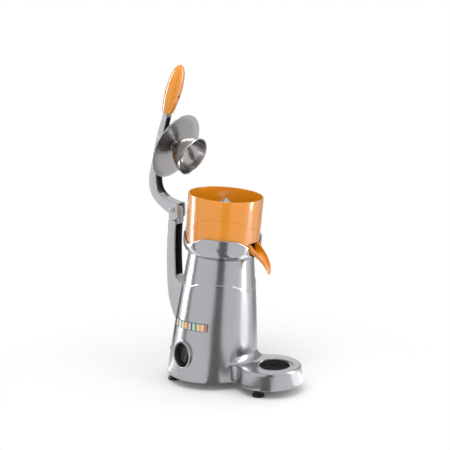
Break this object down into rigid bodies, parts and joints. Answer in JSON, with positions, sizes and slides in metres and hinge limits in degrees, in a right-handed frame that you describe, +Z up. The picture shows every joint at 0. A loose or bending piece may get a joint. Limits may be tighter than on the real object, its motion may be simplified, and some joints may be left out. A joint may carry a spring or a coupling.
{
  "type": "lever citrus juice press",
  "caption": "Lever citrus juice press with a leaning cast body, glass tray, orange bowl with spout, motor-driven reamer and a press cup on a rear-hinged lever.",
  "frame": {"origin": "on the table, in the middle of the part's footprint; the spindle axis meets the table 32.75 mm behind it", "axes": "+Z up; -Y towards the glass tray and the spout; the switch is on the -X side and the lever's hinge is at the back, along X"},
  "size_m": [0.1995, 0.3726, 0.6781],
  "materials": {
    "cast_aluminium": "cast, ground and turned to a satin polish",
    "polished_steel": "stainless, mirror polished",
    "zinc_steel": "plain machined or zinc plated",
    "orange_plastic": "moulded, high gloss",
    "black_rubber": "moulded, matt",
    "black_plastic": "moulded, semi gloss",
    "grey_plastic": "moulded, matt",
    "bronze": "sintered bearing bronze",
    "copper": "enamelled copper wire",
    "strip_enamel": "enamelled thin strip with coloured lines along it"
  },
  "bodies": {
    "base": {"housing": "cast_aluminium", "base_plate": "zinc_steel", "foot_front_right": "black_rubber", "foot_front_left": "black_rubber", "foot_rear_right": "black_rubber", "foot_rear_left": "black_rubber", "foot_screw_front_right": "zinc_steel", "foot_screw_front_left": "zinc_steel", "foot_screw_rear_right": "zinc_steel", "foot_screw_rear_left": "zinc_steel", "tray_mat": "black_rubber", "cord_gland": "black_plastic", "capacitor": "grey_plastic", "capacitor_strap": "zinc_steel", "terminal_block": "grey_plastic", "trim_strip": "strip_enamel", "column": "cast_aluminium", "column_bolt_1": "zinc_steel", "column_bolt_2": "zinc_steel", "switch_liner": "black_plastic", "switch_body": "black_plastic", "head_casting": "cast_aluminium", "bowl": "orange_plastic", "strainer": "polished_steel", "shaft_seal": "black_rubber", "head_bolt_1": "zinc_steel", "head_bolt_2": "zinc_steel", "head_bolt_3": "zinc_steel", "motor_shell": "zinc_steel", "end_shield_upper": "cast_aluminium", "end_shield_lower": "cast_aluminium", "bearing_upper": "zinc_steel", "bearing_lower": "zinc_steel", "motor_stator": "zinc_steel", "winding_upper": "copper", "winding_lower": "copper", "hinge_bush": "bronze"},
    "lever": {"lever_arm": "cast_aluminium", "hinge_pin": "polished_steel", "hinge_nut": "polished_steel", "press_stem": "zinc_steel", "splash_disc": "polished_steel", "press_cup": "polished_steel", "press_nut": "zinc_steel", "grip": "orange_plastic", "grip_screw": "zinc_steel"},
    "spindle": {"drive_shaft": "zinc_steel", "reamer": "polished_steel", "motor_rotor": "zinc_steel", "cooling_fan": "black_plastic"},
    "rocker": {"switch_rocker": "black_plastic"}
  },
  "joints": [
    {"name": "lever_hinge", "type": "hinge", "parent": "base", "child": "lever", "pos_m": [0, 0.12075, 0.366], "axis": [1, 0, 0], "range_deg": [0, 70]},
    {"name": "spindle_spin", "type": "hinge", "parent": "base", "child": "spindle", "pos_m": [0, 0.03275, 0], "axis": [0, -0.108, 0.9942], "continuous": true},
    {"name": "rocker_tilt", "type": "hinge", "parent": "base", "child": "rocker", "pos_m": [-0.08197, 0.04092, 0.0723], "axis": [-0.1908, -0.9759, -0.106], "range_deg": [0, 14]}
  ]
}
